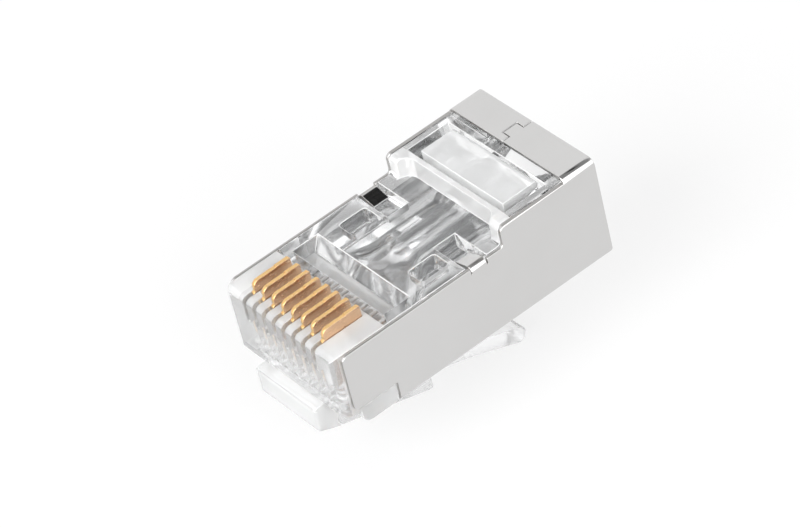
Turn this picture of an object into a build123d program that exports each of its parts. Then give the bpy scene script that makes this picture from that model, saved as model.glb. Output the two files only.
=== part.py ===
from build123d import *
from math import cos, radians, sin, tan
import os

# A shielded eight-way modular plug as it is sold, before it is crimped to a cable.
# Lengths in millimetres. X runs across the plug, Y from the nose to the cable end, Z from the
# latch side up to the contact side. The origin is on the nose face, mid width, at the underside.

# Envelope, measured over the shield
plug_width = 11.68
plug_length = 21.90
front_height = 6.20
step_rise = 1.78
raised_length = 8.00

# Shield sheet and how it lies on the moulding
sheet = 0.25
seat_gap = 0.03
bend_radius = 0.55
shield_setback = 0.62
shield_corner = 0.45
edge_drop = 0.05
band_length = 2.55
notch_length = 3.45
notch_height = 1.65

# Seam of the shield on the rear band, with its interlocking tongue
seam_offset = 0.25
seam_width = 0.06
tongue_reach = 0.68
tongue_length = 1.20
tongue_setback = 0.75

# Retention tabs of the shield, folded over the side walls into pockets
tab_setback = 2.05
tab_length = 1.25
tab_reach = 1.60
tab_dip = 15.0
tab_bend = 0.45
tab_relief = 0.06
pocket_length = 1.75
pocket_reach = 3.20
pocket_depth = 1.10

# Moulding
nose_underside = 1.14
nose_round = 0.45
nose_lower_round = 0.22
nose_corner = 0.50
skirt_start = 1.20
skirt_round = 0.70
step_foot_round = 0.30
step_top_round = 0.45
riser_recess = 0.80
riser_corner = 1.00
housing_setback = 0.25

# Cable cavity, from the rear entry to the wire channels
cable_radius = 2.90
cable_height = 3.45
entry_chamfer = 0.30
throat_length = 0.70
cavity_radius = 2.55
cavity_height = 3.20
cavity_front = 10.20
funnel_length = 2.60
channel_radius = 0.46
channel_corner = 0.44
channel_height = 2.25
channel_end = 0.85

# Hollows in the top face that keep the moulding's walls even
hollow_inner = 2.80
hollow_outer = 4.30
hollow_length = 2.20
hollow_wall = 0.35
hollow_depth = 1.20
hollow_corner = 0.25

# Contact blades and their slots
contact_count = 8
contact_pitch = 1.02
blade_thickness = 0.30
blade_front = 0.95
blade_length = 3.05
blade_proud = 0.87
blade_foot = 3.20
blade_round = 0.45
blade_rear_round = 0.15
blade_step = 0.05
blade_step_place = 1.90
toe_radius = 0.15
toe_drop = 0.08
prong_count = 3
prong_depth = 0.46
crimp_travel = 1.15
slot_side_clearance = 0.03
slot_end_clearance = 0.05
slot_floor_clearance = 0.12
comb_depth = 1.90

# Conductor strain-relief bar and its trough
trough_front = 4.95
trough_rear = 7.05
trough_end_wall = 0.86
trough_lean = 4.0
trough_rear_slope = 0.48
conductor_bar_drop = 1.00
conductor_bar_length = 1.25
conductor_bar_heel = 0.25
conductor_bar_lift = 0.09

# Jacket strain-relief bar and its window
window_setback = 3.35
window_wall = 0.40
window_end_wall = 0.66
window_depth = 2.70
jacket_bar_drop = 0.03
jacket_bar_front_gap = 0.50
jacket_bar_end_gap = 0.75
jacket_bar_heel = 0.30
jacket_bar_lift = 0.07
bar_end_clearance = 0.15
bar_heel_clearance = 0.05

# Latch lever, drawn relaxed
latch_width = 6.20
latch_tail_width = 3.20
latch_thickness = 1.15
latch_slope = 16.2
latch_tail_slope = 21.3
latch_arm = 11.45
latch_tail = 4.55
latch_shoulder_place = 8.20
latch_corner = 0.40
latch_end_round = 0.45
latch_kink_round = 9.0
latch_hinge_place = 1.35
latch_hinge_drop = 0.90
latch_hinge_clearance = 0.05
latch_root_reach = 0.78
latch_root_round = 0.40
latch_root_lip = 0.50

# Sizes that follow from those above
rear_height = front_height + step_rise
step_place = plug_length - raised_length
housing_half_width = plug_width / 2 - sheet - seat_gap
housing_floor = sheet + seat_gap
housing_top = rear_height - sheet - seat_gap
housing_rear = plug_length - housing_setback
side_edge = front_height - edge_drop
raised_side_edge = housing_top - edge_drop
notch_end = shield_setback + notch_length
band_front = plug_length - band_length
tab_place = step_place - tab_setback
tab_half_length = tab_length / 2
tab_bend_height = side_edge - tab_bend
blade_rear = blade_front + blade_length
blade_top = front_height + blade_proud
prong_tip = blade_foot - prong_depth
slot_width = blade_thickness + 2 * slot_side_clearance
slot_front = blade_front - slot_end_clearance
slot_rear = blade_rear + slot_end_clearance
slot_floor = prong_tip - crimp_travel - slot_floor_clearance
channel_top = channel_height + channel_radius
funnel_front = cavity_front - funnel_length
trough_half_width = housing_half_width - trough_end_wall
window_half_width = housing_half_width - window_end_wall
cable_top = cable_height + cable_radius
window_rear = plug_length - window_setback
window_front = step_place + riser_recess + window_wall
throat_place = window_front
trough_ledge = front_height - conductor_bar_drop
trough_back = trough_rear - trough_rear_slope
conductor_bar_bottom = channel_top + conductor_bar_lift
jacket_bar_top = housing_top - jacket_bar_drop
jacket_bar_bottom = cable_top + jacket_bar_lift
pocket_front = tab_place - pocket_length / 2
contact_places = [(i - (contact_count - 1) / 2) * contact_pitch for i in range(contact_count)]
channel_field = (contact_count - 1) * contact_pitch + 2 * channel_radius


def rounded_outline(corners):
    """Face through corners given as (first place, second place, corner radius)."""
    outline = Polygon(*[(a, b) for a, b, _ in corners], align=None)
    for a, b, radius in corners:
        if radius > 0:
            corner = outline.vertices().sort_by_distance(Vector(a, b))[0]
            outline = fillet(corner, radius)
    return outline


def across_width(outline, width):
    """Solid from an outline in length and height, centred on the mid plane."""
    return extrude(Plane.YZ * outline, amount=width / 2, both=True)


def along_length(section, start, end):
    """Solid from a section in width and height, between two places on the length."""
    return extrude(Plane.XZ.offset(-start) * section, amount=start - end)


def block(width, start, end, bottom, top, middle=0.0):
    """Rectangular solid between two lengths and two heights, about a place on the width."""
    shape = Box(width, end - start, top - bottom, align=(Align.CENTER, Align.MIN, Align.MIN))
    return Pos(middle, start, bottom) * shape


def at_length(section, place):
    """Section in width and height, set at a place on the length."""
    return Plane.XZ.offset(-place) * section


def lever_point(place, slope, offset):
    """Point set off square to a sloping line through a place, positive offsets upwards."""
    lean = radians(slope)
    return place + Vector(sin(lean), cos(lean)) * offset


# Latch: the hinge axis, then the centre line of arm and tail
latch_hinge = Vector(latch_hinge_place, -latch_hinge_drop)
latch_kink = latch_hinge + Vector(cos(radians(latch_slope)), -sin(radians(latch_slope))) * latch_arm
tail_run = Vector(cos(radians(latch_tail_slope)), -sin(radians(latch_tail_slope))) * latch_tail
latch_end = latch_kink + tail_run
latch_half = latch_thickness / 2
kink_slope = (latch_slope + latch_tail_slope) / 2


def underside_of_arm(place):
    """Height of the arm's lower face, carried on in a straight line, at a place on the length."""
    lean = radians(latch_slope)
    return latch_hinge.Y - (place - latch_hinge.X) * tan(lean) - latch_half / cos(lean)


def make_latch():
    """Lever with a round heel in the hinge seat, a wide arm, locking shoulders and a narrow tail."""
    arm_low = lever_point(latch_hinge, latch_slope, -latch_half)
    arm_high = lever_point(latch_hinge, latch_slope, latch_half)
    kink_low = lever_point(latch_kink, kink_slope, -latch_half)
    kink_high = lever_point(latch_kink, kink_slope, latch_half)
    end_low = lever_point(latch_end, latch_tail_slope, -latch_half)
    end_high = lever_point(latch_end, latch_tail_slope, latch_half)
    outline = rounded_outline([
        (arm_low.X, arm_low.Y, 0),
        (kink_low.X, kink_low.Y, latch_kink_round),
        (end_low.X, end_low.Y, latch_end_round),
        (end_high.X, end_high.Y, latch_end_round),
        (kink_high.X, kink_high.Y, latch_kink_round),
        (arm_high.X, arm_high.Y, 0),
    ])
    outline += Pos(latch_hinge.X, latch_hinge.Y) * Circle(latch_half)
    arm_half = latch_width / 2
    tail_half = latch_tail_width / 2
    front = latch_hinge.X - latch_thickness
    rear = end_high.X + latch_end_round
    plan = rounded_outline([
        (-arm_half, front, 0),
        (arm_half, front, 0),
        (arm_half, latch_shoulder_place, latch_corner),
        (tail_half, latch_shoulder_place, latch_corner),
        (tail_half, rear, latch_corner),
        (-tail_half, rear, latch_corner),
        (-tail_half, latch_shoulder_place, latch_corner),
        (-arm_half, latch_shoulder_place, latch_corner),
    ])
    depth = latch_hinge.Y - end_low.Y + latch_thickness
    footprint = extrude(Plane.XY.offset(latch_hinge.Y + latch_thickness) * plan, amount=-2 * depth)
    return across_width(outline, latch_width) & footprint


def make_latch_root():
    """Block under the nose that carries the latch, hollowed at its rear to seat the lever's heel."""
    lip = latch_hinge.X - latch_root_lip
    outline = rounded_outline([
        (-latch_root_reach, nose_underside, latch_root_round),
        (-latch_root_reach, underside_of_arm(-latch_root_reach), latch_root_round),
        (lip, underside_of_arm(lip), 0),
        (skirt_start + skirt_round, skirt_round, 0),
        (skirt_start + skirt_round, nose_underside + skirt_round, 0),
        (nose_round, nose_underside + nose_round, 0),
        (nose_round, nose_underside, 0),
    ])
    seat = Pos(latch_hinge.X, latch_hinge.Y) * Circle(latch_half + latch_hinge_clearance)
    return across_width(outline - seat, latch_width)


def make_housing():
    """Moulding: stepped body with comb, channels, cavity, trough, window and pockets."""
    profile = rounded_outline([
        (0, nose_underside, nose_lower_round),
        (0, front_height, nose_round),
        (step_place, front_height, step_foot_round),
        (step_place, housing_top, step_top_round),
        (housing_rear, housing_top, 0),
        (housing_rear, housing_floor, 0),
        (notch_end - seat_gap, housing_floor, 0),
        (notch_end - seat_gap, 0, 0),
        (skirt_start, 0, skirt_round),
        (skirt_start, nose_underside, 0),
    ])
    nose_plan = rounded_outline([
        (-housing_half_width, 0, nose_corner),
        (housing_half_width, 0, nose_corner),
        (housing_half_width, notch_end - seat_gap, 0),
        (-housing_half_width, notch_end - seat_gap, 0),
    ])
    sleeve_section = RectangleRounded(
        2 * housing_half_width, housing_top - housing_floor, bend_radius - sheet
    )
    sleeve_middle = (housing_top + housing_floor) / 2
    nose = extrude(nose_plan, amount=front_height)
    sleeve = along_length(Pos(0, sleeve_middle) * sleeve_section, notch_end - seat_gap, housing_rear)
    housing = across_width(profile, 2 * housing_half_width) & (nose + sleeve)
    housing += make_latch_root()
    housing -= make_cavity()
    housing -= make_contact_slots()
    housing -= make_trough()
    housing -= make_riser_recess()
    housing -= make_window()
    housing -= make_pockets()
    housing -= make_hollows()
    return housing


def make_cavity():
    """Cable entry, throat, wire cavity and the funnel that spreads the wires to their channels."""
    entry = Pos(0, cable_height) * Circle(cable_radius)
    mouth = Pos(0, cable_height) * Circle(cable_radius + entry_chamfer)
    round_space = Pos(0, cavity_height) * Circle(cavity_radius)
    throat_front = throat_place - throat_length
    spread = Pos(0, channel_height) * RectangleRounded(
        channel_field, 2 * channel_radius, channel_corner
    )
    mouth_place = housing_rear - entry_chamfer
    cavity = along_length(entry, throat_place, housing_rear)
    cavity += loft([at_length(entry, mouth_place), at_length(mouth, housing_rear)])
    cavity += loft([at_length(round_space, throat_front), at_length(entry, throat_place)])
    cavity += along_length(round_space, cavity_front, throat_front)
    cavity += loft([at_length(spread, funnel_front), at_length(round_space, cavity_front)])
    channel = Circle(channel_radius)
    for place in contact_places:
        cavity += along_length(Pos(place, channel_height) * channel, channel_end, funnel_front)
    return cavity


def make_contact_slots():
    """Slots for the blades, open at the top and, over the depth of the comb, at the nose."""
    slots = []
    for place in contact_places:
        slots.append(block(slot_width, slot_front, slot_rear, slot_floor, front_height, place))
        slots.append(block(slot_width, 0, slot_front, front_height - comb_depth, front_height, place))
    return Part() + slots


def make_trough():
    """Full-width trough over the wires, with a leaning front wall and a sloping lead-in behind."""
    floor = channel_height
    lean = (front_height - floor) * tan(radians(trough_lean))
    outline = Polygon(
        (trough_front, front_height),
        (trough_front + lean, floor),
        (trough_back, floor),
        (trough_back, trough_ledge),
        (trough_rear, front_height),
        align=None,
    )
    return across_width(outline, 2 * trough_half_width)


def make_riser_recess():
    """Set-back of the riser between its two side posts, with rounded inner corners."""
    start = step_place - step_foot_round
    end = step_place + riser_recess
    plan = rounded_outline([
        (-trough_half_width, start, 0),
        (trough_half_width, start, 0),
        (trough_half_width, end, riser_corner),
        (-trough_half_width, end, riser_corner),
    ])
    return extrude(Plane.XY.offset(front_height) * plan, amount=housing_top - front_height)


def make_window():
    """Window in the raised rear that the jacket bar swings down through."""
    floor = housing_top - window_depth
    return block(2 * window_half_width, window_front, window_rear, floor, housing_top)


def make_pockets():
    """Pockets at both sides, open to the side walls, that the shield's tabs fold into."""
    inner = housing_half_width - pocket_reach
    middle = inner + pocket_reach / 2
    end = pocket_front + pocket_length
    floor = front_height - pocket_depth
    pockets = []
    for side in (-1, 1):
        pockets.append(block(pocket_reach, pocket_front, end, floor, front_height, side * middle))
    return Part() + pockets


def make_hollows():
    """Pair of blind hollows in the top face, between the trough and the tab pockets."""
    width = hollow_outer - hollow_inner
    plan = RectangleRounded(width, hollow_length, hollow_corner)
    place = pocket_front - hollow_wall - hollow_length / 2
    hollows = []
    for side in (-1, 1):
        middle = Pos(side * (hollow_inner + width / 2), place, front_height)
        hollows.append(extrude(middle * plan, amount=-hollow_depth))
    return Part() + hollows


def make_strain_bar(front, rear, bottom, top, heel, width):
    """Flat-topped bar, thinner towards the round heel it turns on when it is pressed down."""
    hinge = Vector(rear - bar_heel_clearance - heel, top - heel)
    outline = Polygon(
        (front, bottom),
        (hinge.X, top - 2 * heel),
        (hinge.X, top),
        (front, top),
        align=None,
    )
    outline += Pos(hinge.X, hinge.Y) * Circle(heel)
    return across_width(outline, width)


def make_conductor_bar():
    """Bar in the trough, over the single wires."""
    width = 2 * (trough_half_width - bar_end_clearance)
    front = trough_back - bar_heel_clearance - conductor_bar_length
    return make_strain_bar(
        front, trough_back, conductor_bar_bottom, trough_ledge, conductor_bar_heel, width
    )


def make_jacket_bar():
    """Bar in the window, over the cable's jacket."""
    width = 2 * (window_half_width - jacket_bar_end_gap)
    front = window_front + jacket_bar_front_gap
    return make_strain_bar(
        front, window_rear, jacket_bar_bottom, jacket_bar_top, jacket_bar_heel, width
    )


def make_tab(side):
    """One retention tab: the side wall turned over and dipping into its pocket."""
    outer = plug_width / 2
    centre = Vector(outer - tab_bend, tab_bend_height)
    mid_radius = tab_bend - sheet / 2
    turn = 90 + tab_dip
    bend = CenterArc((centre.X, centre.Y), mid_radius, 0, turn)
    run = Vector(-cos(radians(tab_dip)), -sin(radians(tab_dip))) * (tab_reach - tab_bend)
    start = bend @ 1
    flat = Line(start, start + run)
    strip = trace(bend, sheet) + trace(flat, sheet)
    tab = along_length(strip, tab_place - tab_half_length, tab_place + tab_half_length)
    return tab if side > 0 else mirror(tab, about=Plane.YZ)


def make_seam():
    """Gap of the closing seam on the band: two straight runs and the outline of the tongue."""
    middle = -seam_offset
    tongue_end = plug_length - tongue_setback
    path = Polyline(
        (middle, band_front - seam_width),
        (middle, tongue_end - tongue_length),
        (middle - tongue_reach, tongue_end - tongue_length),
        (middle - tongue_reach, tongue_end),
        (middle, tongue_end),
        (middle, plug_length + seam_width),
    )
    gap = Sketch()
    for run in path.edges():
        along = (run @ 1 - run @ 0).normalized() * (seam_width / 2)
        gap += trace(Line(run @ 0 - along, run @ 1 + along), seam_width)
    return extrude(Plane.XY.offset(rear_height - sheet - bend_radius) * gap, amount=sheet + 2 * bend_radius)


def make_shield():
    """Folded sheet: floor, side walls with stepped edges, closed rear band and two tabs."""
    outer = RectangleRounded(plug_width, rear_height, bend_radius)
    inner = RectangleRounded(plug_width - 2 * sheet, rear_height - 2 * sheet, bend_radius - sheet)
    tube = along_length(Pos(0, rear_height / 2) * (outer - inner), shield_setback, plug_length)
    margin = sheet
    kept = rounded_outline([
        (shield_setback, notch_height, shield_corner),
        (shield_setback, side_edge, shield_corner),
        (step_place, side_edge, step_foot_round),
        (step_place, raised_side_edge, step_top_round),
        (band_front, raised_side_edge, 0),
        (band_front, rear_height + margin, 0),
        (plug_length, rear_height + margin, 0),
        (plug_length, -margin, 0),
        (notch_end, -margin, 0),
        (notch_end, notch_height, 0),
    ])
    shield = tube & across_width(kept, plug_width + 2 * margin)
    relief_half = tab_half_length + tab_relief
    shield -= block(
        plug_width + 2 * margin, tab_place - relief_half, tab_place + relief_half,
        tab_bend_height, front_height,
    )
    for side in (-1, 1):
        shield += make_tab(side)
    return shield - make_seam()


def make_contact(place):
    """Stamped blade with a round shoulder and toe, a stepped top edge and piercing prongs."""
    step = blade_front + blade_step_place
    blade = rounded_outline([
        (blade_front, blade_foot, 0),
        (blade_front, blade_top - blade_step, blade_round),
        (step, blade_top - blade_step, 0),
        (step, blade_top, 0),
        (blade_rear, blade_top, blade_rear_round),
        (blade_rear, blade_foot, 0),
    ])
    blade += Pos(blade_front, front_height - toe_drop) * Circle(toe_radius)
    prong_pitch = blade_length / prong_count
    for i in range(prong_count):
        start = blade_front + i * prong_pitch
        blade += Polygon(
            (start, blade_foot),
            (start + prong_pitch / 2, prong_tip),
            (start + prong_pitch, blade_foot),
            align=None,
        )
    return Pos(place, 0, 0) * across_width(blade, blade_thickness)


parts = {
    "housing": make_housing(),
    "latch": make_latch(),
    "conductor_bar": make_conductor_bar(),
    "jacket_bar": make_jacket_bar(),
    "shield": make_shield(),
}
for number, place in enumerate(contact_places, start=1):
    parts[f"contact_{number}"] = make_contact(place)

os.makedirs("parts", exist_ok=True)
for name, solid in parts.items():
    export_step(solid, f"parts/{name}.step")
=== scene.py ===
"""Looks of a shielded eight-way modular plug: clear moulding, nickel shield, gold-plated blades.

Lengths are in metres in the part's own frame: X across the plug, Y from the nose to the cable end,
Z from the latch side up to the contact side.
"""

import logging
import math
from collections.abc import Callable
from dataclasses import dataclass, field
from enum import Enum

import bmesh
import bpy
from mathutils import Matrix, Vector


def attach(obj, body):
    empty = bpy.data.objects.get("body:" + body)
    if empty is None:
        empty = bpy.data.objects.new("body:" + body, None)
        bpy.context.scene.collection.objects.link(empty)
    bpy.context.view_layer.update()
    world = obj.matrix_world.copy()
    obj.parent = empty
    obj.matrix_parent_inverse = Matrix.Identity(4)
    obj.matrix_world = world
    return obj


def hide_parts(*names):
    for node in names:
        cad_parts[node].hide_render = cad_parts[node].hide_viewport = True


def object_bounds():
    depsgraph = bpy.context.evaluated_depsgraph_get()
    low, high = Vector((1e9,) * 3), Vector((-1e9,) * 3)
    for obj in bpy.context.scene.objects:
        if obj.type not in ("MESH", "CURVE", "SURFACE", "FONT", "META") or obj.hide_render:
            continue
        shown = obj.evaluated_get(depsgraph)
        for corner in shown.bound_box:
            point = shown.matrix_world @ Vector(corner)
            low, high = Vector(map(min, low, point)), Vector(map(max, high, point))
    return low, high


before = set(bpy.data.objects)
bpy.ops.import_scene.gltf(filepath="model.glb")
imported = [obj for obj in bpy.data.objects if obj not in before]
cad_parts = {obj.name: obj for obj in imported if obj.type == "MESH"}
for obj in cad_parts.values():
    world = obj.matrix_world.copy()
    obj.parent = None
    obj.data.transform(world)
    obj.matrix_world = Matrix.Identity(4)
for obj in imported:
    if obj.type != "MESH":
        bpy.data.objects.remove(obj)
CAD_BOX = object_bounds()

LOG = logging.getLogger("modular_plug")
MM = 0.001
WELD_DISTANCE = 0.0002 * MM
CURVE_WEIGHT = 1e-13
BROKEN_EDGE = "broken_edge"
LIGHT_BOUNCES = 40

# Most of a noise's values lie between these two.
NOISE_LOW = 0.3
NOISE_HIGH = 0.7

# A face whose normal has more than this share along an axis is square to the axis.
SQUARE_ON = 0.9

WHITE = (1.0, 1.0, 1.0)
UNSTRETCHED = (1.0, 1.0, 1.0)

# Half the side of a square one metre wide.
UNIT_HALF = 0.5

Triple = tuple[float, float, float]
FaceTest = Callable[[Vector, Vector], bool]
Plane = tuple[Vector, Vector]


class Slot(Enum):
    """Material slots of the record."""

    CLEAR = "clear_polycarbonate"
    NICKEL = "nickel_plate"
    GOLD = "gold_plate"


class NodeSketch:
    """Short way to lay out the nodes of a material or the world."""

    def __init__(self, tree: bpy.types.NodeTree) -> None:
        """Starts from an emptied tree.

        Args:
            tree: the node tree to fill.
        """
        self.tree = tree
        tree.nodes.clear()

    def add(self, kind: str, **settings: object) -> bpy.types.Node:
        """Adds a node and sets its own properties.

        Args:
            kind: the node's type name.
            settings: properties of the node, by name.

        Returns:
            The new node.
        """
        node = self.tree.nodes.new(kind)
        for name, value in settings.items():
            setattr(node, name, value)
        return node

    def join(self, source: bpy.types.NodeSocket, target: bpy.types.NodeSocket) -> None:
        """Links an output to an input."""
        self.tree.links.new(source, target)

    def noise(
        self, vector: bpy.types.NodeSocket, scale: float, detail: float
    ) -> bpy.types.NodeSocket:
        """Noise on given coordinates.

        Args:
            vector: the coordinates to read.
            scale: cells in a metre.
            detail: octaves of finer noise.

        Returns:
            The noise's value output.
        """
        node = self.add("ShaderNodeTexNoise")
        node.inputs["Scale"].default_value = scale
        node.inputs["Detail"].default_value = detail
        self.join(vector, node.inputs["Vector"])
        return node.outputs["Fac"]

    def ranged(self, value: bpy.types.NodeSocket, low: float, high: float) -> bpy.types.NodeSocket:
        """Spreads the usual values of a noise over a range.

        Args:
            value: the noise's output.
            low: result at the noise's low values.
            high: result at its high values.

        Returns:
            The spread value's output.
        """
        node = self.add("ShaderNodeMapRange")
        node.inputs["From Min"].default_value = NOISE_LOW
        node.inputs["From Max"].default_value = NOISE_HIGH
        node.inputs["To Min"].default_value = low
        node.inputs["To Max"].default_value = high
        self.join(value, node.inputs["Value"])
        return node.outputs["Result"]

    def stretched(self, scale: Triple) -> bpy.types.NodeSocket:
        """Object coordinates, stretched along the axes.

        Args:
            scale: factor on each axis.

        Returns:
            The coordinates' output.
        """
        place = self.add("ShaderNodeTexCoord")
        mapping = self.add("ShaderNodeMapping")
        mapping.inputs["Scale"].default_value = scale
        self.join(place.outputs["Object"], mapping.inputs["Vector"])
        return mapping.outputs["Vector"]

    def bump(
        self, height: bpy.types.NodeSocket, strength: float, depth: float
    ) -> bpy.types.NodeSocket:
        """Bump from a height value.

        Args:
            height: the height's output, 0..1.
            strength: share of the bump that is used.
            depth: real height of a full step, in metres.

        Returns:
            The normal's output.
        """
        node = self.add("ShaderNodeBump")
        node.inputs["Strength"].default_value = strength
        node.inputs["Distance"].default_value = depth
        self.join(height, node.inputs["Height"])
        return node.outputs["Normal"]

    def two_colours(
        self, factor: bpy.types.NodeSocket, first: Triple, second: Triple
    ) -> bpy.types.NodeSocket:
        """Mixes two colours.

        Args:
            factor: 0 for the first colour, 1 for the second.
            first: RGB of the first colour.
            second: RGB of the second colour.

        Returns:
            The mixed colour's output.
        """
        node = self.add("ShaderNodeMix", data_type="RGBA")
        node.inputs["A"].default_value = rgba(first)
        node.inputs["B"].default_value = rgba(second)
        self.join(factor, node.inputs["Factor"])
        return node.outputs["Result"]

    def either(self, *values: bpy.types.NodeSocket) -> bpy.types.NodeSocket:
        """Largest of several values.

        Args:
            values: the outputs to compare.

        Returns:
            The largest value's output.
        """
        largest = values[0]
        for value in values[1:]:
            node = self.add("ShaderNodeMath", operation="MAXIMUM")
            self.join(largest, node.inputs[0])
            self.join(value, node.inputs[1])
            largest = node.outputs["Value"]
        return largest

    def scaled(self, value: bpy.types.NodeSocket, factor: float) -> bpy.types.NodeSocket:
        """A value times a constant.

        Args:
            value: the output to scale.
            factor: the constant.

        Returns:
            The product's output.
        """
        node = self.add("ShaderNodeMath", operation="MULTIPLY")
        node.inputs[1].default_value = factor
        self.join(value, node.inputs[0])
        return node.outputs["Value"]


def rgba(colour: Triple) -> tuple[float, float, float, float]:
    """A colour with full alpha."""
    return (*colour, 1.0)


def blank_material(name: str) -> tuple[bpy.types.Material, NodeSketch, bpy.types.NodeSocket]:
    """Starts a material.

    Args:
        name: the material's name.

    Returns:
        The material, its nodes, and the socket that takes its shader.
    """
    material = bpy.data.materials.new(name)
    material.use_nodes = True
    sketch = NodeSketch(material.node_tree)
    out = sketch.add("ShaderNodeOutputMaterial")
    return material, sketch, out.inputs["Surface"]


def placed(name: str, data: bpy.types.ID) -> bpy.types.Object:
    """Puts a mesh, a lamp or a camera into the scene as an object.

    Args:
        name: the object's name.
        data: what it shows.

    Returns:
        The object, at the origin.
    """
    thing = bpy.data.objects.new(name, data)
    bpy.context.scene.collection.objects.link(thing)
    return thing


def studio_square(
    name: str, half: float, place: Matrix, material: bpy.types.Material
) -> bpy.types.Object:
    """Puts one flat square of the studio into the scene.

    Args:
        name: the square's name.
        half: half its side, before it is placed.
        place: turns, stretches and moves it.
        material: its finish.

    Returns:
        The square, with its place in its mesh.
    """
    shape = bmesh.new()
    bmesh.ops.create_grid(shape, x_segments=1, y_segments=1, size=half)
    bmesh.ops.transform(shape, matrix=place, verts=shape.verts)
    mesh = bpy.data.meshes.new(name)
    shape.to_mesh(mesh)
    shape.free()
    mesh.materials.append(material)
    return placed(name, mesh)


@dataclass(frozen=True)
class ClearMoulding:
    """Clear polycarbonate with faint flow lines, as clear and as polished as the mould's face."""

    name: str
    polish: float
    haze: float
    clear: float = 1.0
    tint: Triple = (0.985, 0.988, 0.990)
    refraction: float = 1.43
    flow_stretch: Triple = (1.0, 0.35, 1.0)
    flow_scale: float = 420.0
    flow_detail: float = 2.0
    flow_strength: float = 0.4
    flow_depth: float = 0.0006 * MM

    def material(self) -> bpy.types.Material:
        """Builds the material.

        Returns:
            The material, named as the finish.
        """
        material, sketch, out = blank_material(self.name)
        surface = sketch.add("ShaderNodeBsdfPrincipled")
        surface.inputs["Base Color"].default_value = rgba(self.tint)
        surface.inputs["Transmission Weight"].default_value = self.clear
        surface.inputs["IOR"].default_value = self.refraction
        place = sketch.stretched(self.flow_stretch)
        flow = sketch.noise(place, self.flow_scale, self.flow_detail)
        relief = sketch.bump(flow, self.flow_strength, self.flow_depth)
        sketch.join(sketch.ranged(flow, self.polish, self.haze), surface.inputs["Roughness"])
        sketch.join(relief, surface.inputs["Normal"])
        sketch.join(surface.outputs["BSDF"], out)
        return material


@dataclass(frozen=True)
class NickelSheet:
    """Bright nickel plate on rolled sheet, with fine rolling lines along the plug."""

    name: str
    bright: Triple
    dull: Triple
    smooth: float = 0.10
    rough: float = 0.17
    metal: float = 1.0
    line_stretch: Triple = (1.0, 0.03, 1.0)
    line_scale: float = 9000.0
    line_strength: float = 0.3
    line_depth: float = 0.0008 * MM
    cloud_scale: float = 260.0
    detail: float = 3.0

    def material(self) -> bpy.types.Material:
        """Builds the material.

        Returns:
            The material, named as the finish.
        """
        material, sketch, out = blank_material(self.name)
        surface = sketch.add("ShaderNodeBsdfPrincipled")
        surface.inputs["Metallic"].default_value = self.metal
        lines = sketch.noise(sketch.stretched(self.line_stretch), self.line_scale, self.detail)
        cloud = sketch.noise(sketch.stretched(UNSTRETCHED), self.cloud_scale, self.detail)
        colour = sketch.two_colours(cloud, self.bright, self.dull)
        relief = sketch.bump(lines, self.line_strength, self.line_depth)
        sketch.join(colour, surface.inputs["Base Color"])
        sketch.join(sketch.ranged(lines, self.smooth, self.rough), surface.inputs["Roughness"])
        sketch.join(relief, surface.inputs["Normal"])
        sketch.join(surface.outputs["BSDF"], out)
        return material


@dataclass(frozen=True)
class BladeMetal:
    """Plate on the stamped bronze of a blade, thinner in places; a browner, darker copy for the
    blades' sides is painted shade.
    """

    name: str
    plated: Triple
    thin: Triple
    smooth: float
    rough: float
    metal: float = 1.0
    grain_stretch: Triple = (1.0, 0.3, 1.0)
    grain_scale: float = 6000.0
    grain_detail: float = 3.0
    grain_strength: float = 0.3
    grain_depth: float = 0.0015 * MM

    def material(self) -> bpy.types.Material:
        """Builds the material.

        Returns:
            The material, named as the finish.
        """
        material, sketch, out = blank_material(self.name)
        surface = sketch.add("ShaderNodeBsdfPrincipled")
        surface.inputs["Metallic"].default_value = self.metal
        place = sketch.stretched(self.grain_stretch)
        grain = sketch.noise(place, self.grain_scale, self.grain_detail)
        colour = sketch.two_colours(grain, self.plated, self.thin)
        relief = sketch.bump(grain, self.grain_strength, self.grain_depth)
        sketch.join(colour, surface.inputs["Base Color"])
        sketch.join(sketch.ranged(grain, self.smooth, self.rough), surface.inputs["Roughness"])
        sketch.join(relief, surface.inputs["Normal"])
        sketch.join(surface.outputs["BSDF"], out)
        return material


@dataclass(frozen=True)
class Patch:
    """Faces of a piece that have a finish of their own.

    The test takes a face's centre and normal and says whether the face is one of them.
    """

    material: bpy.types.Material
    covers: FaceTest


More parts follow.
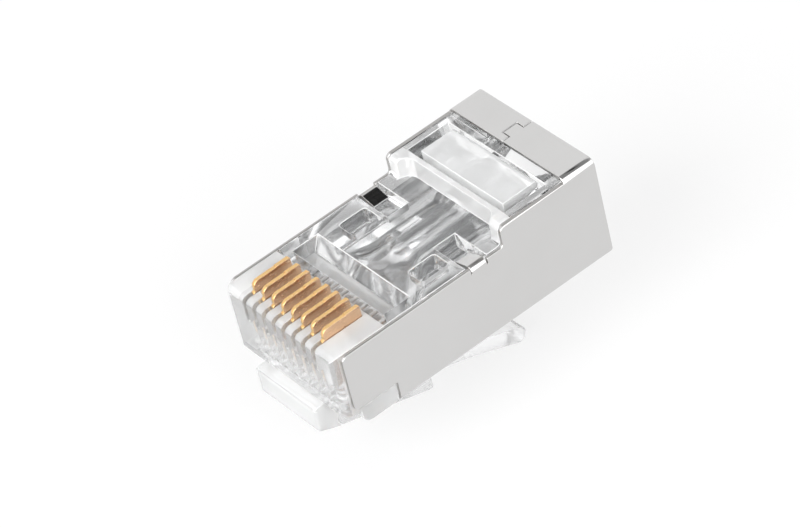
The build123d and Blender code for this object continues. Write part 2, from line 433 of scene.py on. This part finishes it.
@dataclass
class SmoothedNode:
    """A CAD node's mesh, welded, with broken edges, smooth round faces and flat flats."""

    node: str
    slot: Slot
    edge_break: float
    edge_patch: Patch | None = None
    cuts: tuple[Plane, ...] = ()
    rounded: Callable[[Vector], bool] | None = None
    rounding: float = 0.0
    crease: float = math.radians(30.0)
    blend: float = math.radians(60.0)
    flat_within: float = math.radians(0.4)
    flat_share: float = 6.0
    edge_segments: int = 2
    rounding_segments: int = 5

    def build(self, body: str, material: bpy.types.Material, *patches: Patch) -> bpy.types.Object:
        """Builds the piece, which stands for the node.

        Args:
            body: the body that the piece rides on.
            material: its finish.
            patches: faces with another finish; a later patch lies over an earlier one.

        Returns:
            The piece.
        """
        shape = bmesh.new()
        shape.from_mesh(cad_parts[self.node].data)
        shape.faces.layers.int.new(BROKEN_EDGE)
        bmesh.ops.remove_doubles(shape, verts=shape.verts, dist=WELD_DISTANCE)
        self.break_edges(shape)
        for place, across in self.cuts:
            everything = [*shape.verts, *shape.edges, *shape.faces]
            bmesh.ops.bisect_plane(
                shape, geom=everything, plane_co=place, plane_no=across, dist=WELD_DISTANCE
            )
        shape.normal_update()
        self.paint(shape, patches)
        normals = self.corner_normals(shape)
        mesh = bpy.data.meshes.new(f"{self.node}_finished")
        mesh.materials.append(material)
        for patch in (*patches, *([self.edge_patch] if self.edge_patch else [])):
            mesh.materials.append(patch.material)
        shape.to_mesh(mesh)
        shape.free()
        mesh.normals_split_custom_set(normals)
        piece = placed(f"{self.node}_finished", mesh)
        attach(piece, body)
        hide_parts(self.node)
        return piece

    def paint(self, shape: bmesh.types.BMesh, patches: tuple[Patch, ...]) -> None:
        """Gives each face the number of its finish.

        Args:
            shape: the finished mesh, with its normals up to date.
            patches: the piece's patches, in order; the edges' own patch comes after them.
        """
        on_edge = shape.faces.layers.int[BROKEN_EDGE]
        for face in shape.faces:
            face.smooth = True
            face.material_index = 0
            centre = face.calc_center_median()
            for index, patch in enumerate(patches, start=1):
                if patch.covers(centre, face.normal):
                    face.material_index = index
            if self.edge_patch and face[on_edge] and self.edge_patch.covers(centre, face.normal):
                face.material_index = len(patches) + 1

    def corner_normals(self, shape: bmesh.types.BMesh) -> list[Vector]:
        """Normal of each face corner: smooth across bends and broken edges, flat on flat faces.

        Args:
            shape: the finished mesh.

        Returns:
            The normals, in the order of the faces and their corners.
        """
        weight = self.face_weights(shape)
        limit = math.cos(self.blend)
        normals = []
        for face in shape.faces:
            for corner in face.loops:
                total = Vector()
                for near in corner.vert.link_loops:
                    if near.face.normal.dot(face.normal) > limit:
                        total += near.face.normal * (weight[near.face.index] * near.calc_angle())
                normals.append(total.normalized() if total.length > 0.0 else face.normal.copy())
        return normals

    def face_weights(self, shape: bmesh.types.BMesh) -> list[float]:
        """How much each face counts in the normals at its corners.

        A flat counts by its whole size, so it keeps its own normal up to the fillet beside it.
        A facet of a curve, which has a neighbour of about its own size across a gentle bend,
        counts little.

        Args:
            shape: the finished mesh.

        Returns:
            One weight a face.
        """
        shape.faces.index_update()
        region, areas = self.flats(shape)
        curved = [False] * len(areas)
        for edge in shape.edges:
            if not edge.is_manifold:
                continue
            first, second = (region[face.index] for face in edge.link_faces)
            if first != second and edge.calc_face_angle() < self.crease:
                curved[first] |= areas[second] * self.flat_share > areas[first]
                curved[second] |= areas[first] * self.flat_share > areas[second]
        return [CURVE_WEIGHT if curved[i] else max(areas[i], CURVE_WEIGHT) for i in region]

    def flats(self, shape: bmesh.types.BMesh) -> tuple[list[int], list[float]]:
        """Groups the faces into flats.

        Args:
            shape: a mesh with face indices and normals up to date.

        Returns:
            The flat that each face is part of, and the area of each flat.
        """
        region = [-1] * len(shape.faces)
        areas = []
        for start in shape.faces:
            if region[start.index] >= 0:
                continue
            region[start.index] = len(areas)
            queue = [start]
            area = 0.0
            while queue:
                face = queue.pop()
                area += face.calc_area()
                for near in [f for edge in face.edges for f in edge.link_faces]:
                    bend = near.normal.angle(start.normal, math.pi)
                    if region[near.index] < 0 and bend < self.flat_within:
                        region[near.index] = len(areas)
                        queue.append(near)
            areas.append(area)
        return region, areas

    def break_edges(self, shape: bmesh.types.BMesh) -> None:
        """Joins flat faces and rounds the sharp edges.

        Args:
            shape: the welded mesh.
        """
        bmesh.ops.dissolve_limit(
            shape,
            angle_limit=self.flat_within,
            verts=shape.verts,
            edges=shape.edges,
            delimit=set(),
        )
        if self.rounded:
            sharp = self.sharp_edges(shape)
            chosen = [e for e in sharp if all(self.rounded(v.co) for v in e.verts)]
            self.bevel(shape, chosen, self.rounding, self.rounding_segments)
        on_edge = shape.faces.layers.int[BROKEN_EDGE]
        sharp = self.sharp_edges(shape)
        for face in self.bevel(shape, sharp, self.edge_break, self.edge_segments):
            face[on_edge] = 1

    def sharp_edges(self, shape: bmesh.types.BMesh) -> list[bmesh.types.BMEdge]:
        """Edges between faces that meet at more than the crease's angle."""
        return [e for e in shape.edges if e.is_manifold and e.calc_face_angle() > self.crease]

    def bevel(
        self,
        shape: bmesh.types.BMesh,
        edges: list[bmesh.types.BMEdge],
        offset: float,
        segments: int,
    ) -> list[bmesh.types.BMFace]:
        """Rounds edges.

        Args:
            shape: the mesh.
            edges: the edges to round.
            offset: how far the rounding reaches from the edge.
            segments: its steps.

        Returns:
            The new faces.
        """
        return bmesh.ops.bevel(
            shape,
            geom=edges,
            offset=offset,
            offset_type="OFFSET",
            affect="EDGES",
            segments=segments,
            profile=0.5,
            material=-1,
            clamp_overlap=False,
        )["faces"]


@dataclass
class Moulding:
    """The clear housing with its latch and its two strain-relief bars."""

    outside: ClearMoulding = ClearMoulding("clear_moulding", polish=0.012, haze=0.05)
    inside: ClearMoulding = ClearMoulding("satin_moulding", polish=0.07, haze=0.12)
    front: ClearMoulding = ClearMoulding("clear_front", polish=0.02, haze=0.06, clear=0.76)
    slots: ClearMoulding = ClearMoulding("satin_slots", polish=0.10, haze=0.20, clear=0.82)
    ribs: ClearMoulding = ClearMoulding("pale_ribs", polish=0.10, haze=0.20, clear=0.64)
    riser: ClearMoulding = ClearMoulding("pale_riser", polish=0.05, haze=0.12, clear=0.55)
    rails: ClearMoulding = ClearMoulding("clear_rails", polish=0.03, haze=0.09, clear=0.76)
    frosted: ClearMoulding = ClearMoulding("frosted_moulding", polish=0.18, haze=0.28, clear=0.62)
    milky: ClearMoulding = ClearMoulding("milky_moulding", polish=0.16, haze=0.26, clear=0.55)
    bar: ClearMoulding = ClearMoulding("pale_bar", polish=0.07, haze=0.12, clear=0.62)
    plate: ClearMoulding = ClearMoulding("pale_plate", polish=0.04, haze=0.10, clear=0.61)
    trough: ClearMoulding = ClearMoulding("satin_trough", polish=0.06, haze=0.12, clear=0.91)
    edges: ClearMoulding = ClearMoulding("pale_edges", polish=0.10, haze=0.20, clear=0.48)
    lever: ClearMoulding = ClearMoulding("lever_moulding", polish=0.18, haze=0.28)
    bore_axis: Vector = field(default_factory=lambda: Vector((0.0, 0.0, 3.35)) * MM)
    bore_radius: float = 3.3 * MM
    bore_front: float = 7.0 * MM
    wires_low: Vector = field(default_factory=lambda: Vector((-4.6, 0.5, 1.6)) * MM)
    wires_high: Vector = field(default_factory=lambda: Vector((4.6, 8.0, 2.9)) * MM)
    roof: float = 6.0 * MM
    foot_top: float = 1.7 * MM
    foot_rear: float = 4.1 * MM
    root_top: float = 1.0 * MM
    root_round: float = 0.28 * MM
    comb_bottom: float = 3.0 * MM
    comb_rear: float = 4.3 * MM
    comb_half: float = 4.15 * MM
    rib_top: float = 5.5 * MM
    trough_rear: float = 7.1 * MM
    trough_low: float = 2.9 * MM
    trough_high: float = 6.15 * MM
    nose_front: float = 0.2 * MM
    shield_front: float = 0.8 * MM
    rail_inner: float = 4.72 * MM
    rail_low: float = 7.0 * MM
    riser_low: float = 6.3 * MM
    riser_rear: float = 15.05 * MM
    edge_break: float = 0.045 * MM
    least_rise: float = 0.3
    upright_lean: float = 0.5
    underside_lean: float = -0.5

    def in_cavity(self, centre: Vector, normal: Vector) -> bool:
        """Whether a face is a wall of the cable's bore or of the wires' channels.

        Args:
            centre: the face's middle.
            normal: its direction, which doesn't matter here.

        Returns:
            True for such a wall.
        """
        across = Vector((centre.x, centre.z)) - Vector((self.bore_axis.x, self.bore_axis.z))
        bore = across.length < self.bore_radius and centre.y > self.bore_front
        wires = all(
            low < place < high
            for low, place, high in zip(self.wires_low, centre, self.wires_high)
        )
        return bore or wires

    def in_open(self, centre: Vector, normal: Vector) -> bool:
        """Whether a face is outside the bore, the wires' channels and the blades' slots."""
        enclosed = self.in_cavity(centre, normal) and centre.z < self.roof
        return not (enclosed or self.on_comb(centre, normal))

    def on_foot(self, centre: Vector, normal: Vector) -> bool:
        """Whether a face is on the latch's root or on the skirt beside it, but not under them."""
        low = centre.z < self.foot_top and centre.y < self.foot_rear
        return low and normal.z > self.underside_lean

    def on_root_side(self, place: Vector) -> bool:
        """Whether a point is on the free edges at the sides of the latch's root."""
        return place.y < self.nose_front and place.z < self.root_top

    def on_comb(self, centre: Vector, normal: Vector) -> bool:
        """Whether a face is in the slots of the blades."""
        beside = abs(centre.x) < self.comb_half and centre.y < self.comb_rear
        return beside and centre.z > self.comb_bottom

    def on_ribs(self, centre: Vector, normal: Vector) -> bool:
        """Whether a face is on top of the ribs between the blades or of the land to their right."""
        top = normal.z > self.least_rise and centre.z > self.rib_top
        return top and centre.y < self.comb_rear and centre.x > -self.comb_half

    def in_trough(self, centre: Vector, normal: Vector) -> bool:
        """Whether a face is on the walls of the trough over the wires."""
        along = self.comb_rear < centre.y < self.trough_rear and abs(centre.x) < self.rail_inner
        return along and self.trough_low < centre.z < self.trough_high

    def on_left_land(self, centre: Vector, normal: Vector) -> bool:
        """Whether a face is on the land to the left of the blades."""
        beside = centre.x < -self.comb_half and centre.y < self.comb_rear
        return beside and normal.z > self.least_rise

    def on_front(self, centre: Vector, normal: Vector) -> bool:
        """Whether a face is on the front of the nose or on its upright corners.

        Args:
            centre: the face's middle.
            normal: its direction.

        Returns:
            True for such a face.
        """
        at_corner = abs(centre.x) > self.comb_half and centre.y < self.shield_front
        upright = at_corner and abs(normal.z) < self.upright_lean
        return upright or (normal.y < -SQUARE_ON and centre.y < self.nose_front)

    def on_riser(self, centre: Vector, normal: Vector) -> bool:
        """Whether a face is on the raised rear's front."""
        return self.riser_low < centre.z and centre.y < self.riser_rear

    def on_rail(self, centre: Vector, normal: Vector) -> bool:
        """Whether a face is on a side land of the raised rear or of the low top.

        Args:
            centre: the face's middle.
            normal: its direction.

        Returns:
            True for such a face.
        """
        raised = abs(centre.x) > self.rail_inner and centre.z > self.rail_low
        beside = abs(centre.x) > self.comb_half and centre.y > self.trough_rear
        low = beside and self.roof < centre.z < self.rail_low
        return (raised or low) and normal.z > SQUARE_ON

    def on_plate(self, centre: Vector, normal: Vector) -> bool:
        """Whether a face is on the upper half of the bar in the raised rear."""
        return centre.z > self.riser_low

    def cuts(self) -> tuple[Plane, ...]:
        """Planes that part the top face by its finishes.

        Returns:
            Each plane's place and direction.
        """
        across = Vector((1.0, 0.0, 0.0))
        along = Vector((0.0, 1.0, 0.0))
        places = (-self.rail_inner, -self.comb_half, self.comb_half, self.rail_inner)
        lengths = (self.comb_rear, self.riser_rear)
        return (*((across * x, across) for x in places), *((along * y, along) for y in lengths))

    def build(self) -> list[bpy.types.Object]:
        """Builds and dresses the clear pieces.

        Returns:
            The housing, the latch and the two bars.
        """
        clear = self.outside.material()
        pale = Patch(self.edges.material(), self.in_open)
        finishes = (
            Patch(self.inside.material(), self.in_cavity),
            Patch(self.slots.material(), self.on_comb),
            Patch(self.ribs.material(), self.on_ribs),
            Patch(self.trough.material(), self.in_trough),
            Patch(self.front.material(), self.on_front),
            Patch(self.rails.material(), self.on_rail),
            Patch(self.riser.material(), self.on_riser),
            Patch(self.milky.material(), self.on_left_land),
            Patch(self.frosted.material(), self.on_foot),
        )
        housing = SmoothedNode(
            "housing",
            Slot.CLEAR,
            self.edge_break,
            edge_patch=pale,
            cuts=self.cuts(),
            rounded=self.on_root_side,
            rounding=self.root_round,
        )
        latch = SmoothedNode("latch", Slot.CLEAR, self.edge_break)
        conductor_bar = SmoothedNode("conductor_bar", Slot.CLEAR, self.edge_break)
        rim = Patch(pale.material, self.on_plate)
        jacket_bar = SmoothedNode("jacket_bar", Slot.CLEAR, self.edge_break, edge_patch=rim)
        return [
            housing.build("body", clear, *finishes),
            latch.build("latch", self.lever.material()),
            conductor_bar.build("conductor_bar", self.bar.material()),
            jacket_bar.build("jacket_bar", self.plate.material()),
        ]


@dataclass
class Shield:
    """The folded metal shield."""

    outside: NickelSheet = NickelSheet(
        "nickel_sheet", bright=(0.68, 0.675, 0.67), dull=(0.64, 0.635, 0.63)
    )
    # inner faces: the same nickel painted lighter, painted light that brightens what shows through
    # the clear moulding
    inside: NickelSheet = NickelSheet(
        "lining_painted_lighter", bright=(0.74, 0.74, 0.74), dull=(0.70, 0.70, 0.70)
    )
    # sheet edges: the nickel painted darker, painted shade for the shaded gap along the sheet's
    # edges
    cut: NickelSheet = NickelSheet(
        "edge_painted_darker", bright=(0.52, 0.51, 0.50), dull=(0.42, 0.41, 0.40), smooth=0.25, rough=0.40
    )
    middle_height: float = 4.0 * MM
    wall_inner: float = 5.4 * MM
    raised_edge: float = 7.72 * MM
    band_front: float = 19.3 * MM
    edge_break: float = 0.04 * MM

    def inward_painted_lighter(self, centre: Vector, normal: Vector) -> bool:
        """Whether a face is on the inner side of the sheet, whose nickel is painted lighter as
        painted light.
        """
        return normal.x * centre.x + normal.z * (centre.z - self.middle_height) < 0.0

    def is_cut(self, centre: Vector, normal: Vector) -> bool:
        """Whether a face is an edge of the sheet, whose nickel is painted darker as painted shade.

        Args:
            centre: the face's middle.
            normal: its direction.

        Returns:
            True for such an edge.
        """
        level = abs(normal.z) > SQUARE_ON and abs(centre.x) > self.wall_inner
        on_wall = level and centre.z < self.raised_edge and centre.y < self.band_front
        return abs(normal.y) > SQUARE_ON or on_wall

    def build(self) -> list[bpy.types.Object]:
        """Builds and dresses the shield.

        Returns:
            The shield alone.
        """
        # the inner faces get the nickel painted lighter, painted light
        lining = Patch(self.inside.material(), self.inward_painted_lighter)
        # the sheet's edges get the nickel painted darker, painted shade
        edges = Patch(self.cut.material(), self.is_cut)
        shield = SmoothedNode("shield", Slot.NICKEL, self.edge_break)
        return [shield.build("body", self.outside.material(), lining, edges)]


@dataclass
class ContactRow:
    """The eight contact blades."""

    edge: BladeMetal = BladeMetal(
        "gold_edge", plated=(0.90, 0.62, 0.29), thin=(0.82, 0.53, 0.23), smooth=0.20, rough=0.32
    )
    # blade sides: the gold painted browner and darker, painted shade and painted reflection of the
    # dark slots and ribs beside them
    flank: BladeMetal = BladeMetal(
        "flank_painted_darker",
        plated=(0.84, 0.58, 0.38),
        thin=(0.70, 0.45, 0.28),
        smooth=0.18,
        rough=0.30,
        metal=0.95,
    )
    edge_break: float = 0.04 * MM
    count: int = 8

    def on_flank(self, centre: Vector, normal: Vector) -> bool:
        """Whether a face is on a blade's broad side."""
        return abs(normal.x) > SQUARE_ON

    def build(self) -> list[bpy.types.Object]:
        """Builds and dresses every blade.

        Returns:
            The blades, in order.
        """
        gold = self.edge.material()
        # the blades' sides get the gold painted browner and darker, painted shade
        flank = Patch(self.flank.material(), self.on_flank)
        blades = []
        for number in range(1, self.count + 1):
            node = f"contact_{number}"
            blade = SmoothedNode(node, Slot.GOLD, self.edge_break)
            blades.append(blade.build(node, gold, flank))
        return blades


@dataclass
class Studio:
    """Pale floor, soft light, cards and camera."""

    camera_place: Vector = field(default_factory=lambda: Vector((191.74, -99.33, 190.86)) * MM)
    camera_right: Vector = field(default_factory=lambda: Vector((0.6185, 0.7623, -0.1904)))
    camera_up: Vector = field(default_factory=lambda: Vector((-0.4203, 0.5257, 0.7395)))
    focal_length: float = 204.4
    sensor_width: float = 36.0
    nearest_seen: float = 0.01
    farthest_seen: float = 10.0
    floor_half: float = 1.5
    floor_colour: Triple = (0.24, 0.24, 0.24)
    floor_glow: float = 0.71
    floor_mirrored: float = 0.90
    dome_light: float = 0.60
    middle: Vector = field(default_factory=lambda: Vector((0.0, 11.0, 2.0)) * MM)

    def build(self) -> None:
        """Sets up everything round the object."""
        self.world()
        self.floor()
        self.camera()
        self.card(
            "dark_flag",
            towards=Vector((-0.05, 0.377, 0.925)),
            distance=0.30,
            size=(0.32, 0.26),
            refracted=0.0,
            mirrored=0.30,
        )
        self.card(
            "tab_flag",
            towards=Vector((-0.19, 0.379, 0.905)),
            distance=0.25,
            size=(0.09, 0.05),
            refracted=0.0,
            mirrored=0.0,
        )
        self.card(
            "bright_box",
            towards=Vector((0.72, 0.377, 0.60)),
            distance=0.32,
            size=(0.36, 0.40),
            refracted=1.9,
            mirrored=1.9,
        )
        self.lamp("key_light", offset=Vector((0.15, -0.75, 0.45)), size=0.8, power=9.0)
        self.lamp("fill_light", offset=Vector((0.80, -0.10, 0.40)), size=0.6, power=5.0)

    def world(self) -> None:
        """White dome, dimmer as a light than as a background."""
        world = bpy.data.worlds.new("studio_dome")
        bpy.context.scene.world = world
        world.use_nodes = True
        sketch = NodeSketch(world.node_tree)
        out = sketch.add("ShaderNodeOutputWorld")
        mix = sketch.add("ShaderNodeMixShader")
        lighting = sketch.add("ShaderNodeBackground")
        lighting.inputs["Strength"].default_value = self.dome_light
        backdrop = sketch.add("ShaderNodeBackground")
        for background in (lighting, backdrop):
            background.inputs["Color"].default_value = rgba(WHITE)
        sketch.join(self.seen(sketch, mirrored=1.0), mix.inputs["Fac"])
        sketch.join(lighting.outputs["Background"], mix.inputs[1])
        sketch.join(backdrop.outputs["Background"], mix.inputs[2])
        sketch.join(mix.outputs["Shader"], out.inputs["Surface"])

    def seen(self, sketch: NodeSketch, mirrored: float) -> bpy.types.NodeSocket:
        """1 for what is looked at straight or through clear plastic.

        Args:
            sketch: the nodes to add to.
            mirrored: the value for what is looked at in a reflection.

        Returns:
            The value's output.
        """
        path = sketch.add("ShaderNodeLightPath")
        in_mirror = sketch.scaled(path.outputs["Is Glossy Ray"], mirrored)
        direct = [path.outputs[name] for name in ("Is Camera Ray", "Is Transmission Ray")]
        return sketch.either(in_mirror, *direct)

    def floor(self) -> None:
        """Pale floor level with the lowest point of the latch, which keeps the shadow."""
        material, sketch, out = blank_material("pale_floor")
        paint = sketch.add("ShaderNodeBsdfDiffuse")
        paint.inputs["Color"].default_value = rgba(self.floor_colour)
        glow = sketch.add("ShaderNodeEmission")
        strength = sketch.scaled(self.seen(sketch, self.floor_mirrored), self.floor_glow)
        sketch.join(strength, glow.inputs["Strength"])
        total = sketch.add("ShaderNodeAddShader")
        sketch.join(paint.outputs["BSDF"], total.inputs[0])
        sketch.join(glow.outputs["Emission"], total.inputs[1])
        sketch.join(total.outputs["Shader"], out)
        level = Matrix.Translation((0.0, 0.0, CAD_BOX[0].z))
        floor = studio_square("studio_floor", self.floor_half, level, material)

    def card(
        self,
        name: str,
        towards: Vector,
        distance: float,
        size: tuple[float, float],
        refracted: float,
        mirrored: float,
    ) -> None:
        """A flat card that faces the object, seen only in it.

        Args:
            name: the card's name.
            towards: direction from the object to the card.
            distance: how far off it stands.
            size: its width and height.
            refracted: how bright it is through clear plastic, 0 for a black flag.
            mirrored: how bright it is in a reflection.
        """
        material, sketch, out = blank_material(name)
        light = sketch.add("ShaderNodeEmission")
        path = sketch.add("ShaderNodeLightPath")
        strength = sketch.add("ShaderNodeMapRange")
        strength.inputs["To Min"].default_value = refracted
        strength.inputs["To Max"].default_value = mirrored
        sketch.join(path.outputs["Is Glossy Ray"], strength.inputs["Value"])
        sketch.join(strength.outputs["Result"], light.inputs["Strength"])
        sketch.join(light.outputs["Emission"], out)
        away = towards.normalized()
        turn = away.to_track_quat("Z", "Y").to_matrix().to_4x4()
        scale = Matrix.Diagonal((*size, 1.0, 1.0))
        place = Matrix.Translation(self.middle + away * distance)
        card = studio_square(name, UNIT_HALF, place @ turn @ scale, material)
        card.visible_camera = False
        card.visible_shadow = False
        card.visible_diffuse = False

    def lamp(self, name: str, offset: Vector, size: float, power: float) -> None:
        """A round soft lamp that faces the object.

        Args:
            name: the lamp's name.
            offset: from the object to the lamp.
            size: its diameter.
            power: its power in watts.
        """
        data = bpy.data.lights.new(name, "AREA")
        data.shape = "DISK"
        data.size = size
        data.energy = power
        light = placed(name, data)
        light.location = self.middle + offset
        light.rotation_mode = "QUATERNION"
        light.rotation_quaternion = offset.to_track_quat("Z", "Y")
        light.visible_transmission = False

    def camera(self) -> None:
        """Long lens at the photograph's angle."""
        data = bpy.data.cameras.new("camera")
        data.lens = self.focal_length
        data.sensor_width = self.sensor_width
        data.clip_start = self.nearest_seen
        data.clip_end = self.farthest_seen
        camera = placed("camera", data)
        back = self.camera_right.cross(self.camera_up)
        turn = Matrix((self.camera_right, self.camera_up, back)).transposed()
        camera.matrix_world = Matrix.Translation(self.camera_place) @ turn.to_4x4()
        bpy.context.scene.camera = camera


def main() -> None:
    """Builds every sub-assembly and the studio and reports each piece."""
    logging.basicConfig(level=logging.INFO, format="%(name)s %(message)s")
    for assembly in (Moulding(), Shield(), ContactRow()):
        for piece in assembly.build():
            LOG.info("%s: %d faces", piece.name, len(piece.data.polygons))
    Studio().build()
    bpy.context.scene.view_settings.view_transform = "Standard"
    paths = bpy.context.scene.cycles
    paths.max_bounces = LIGHT_BOUNCES
    paths.transmission_bounces = LIGHT_BOUNCES
    paths.glossy_bounces = LIGHT_BOUNCES
    paths.diffuse_bounces = LIGHT_BOUNCES


if __name__ == "__main__":
    main()
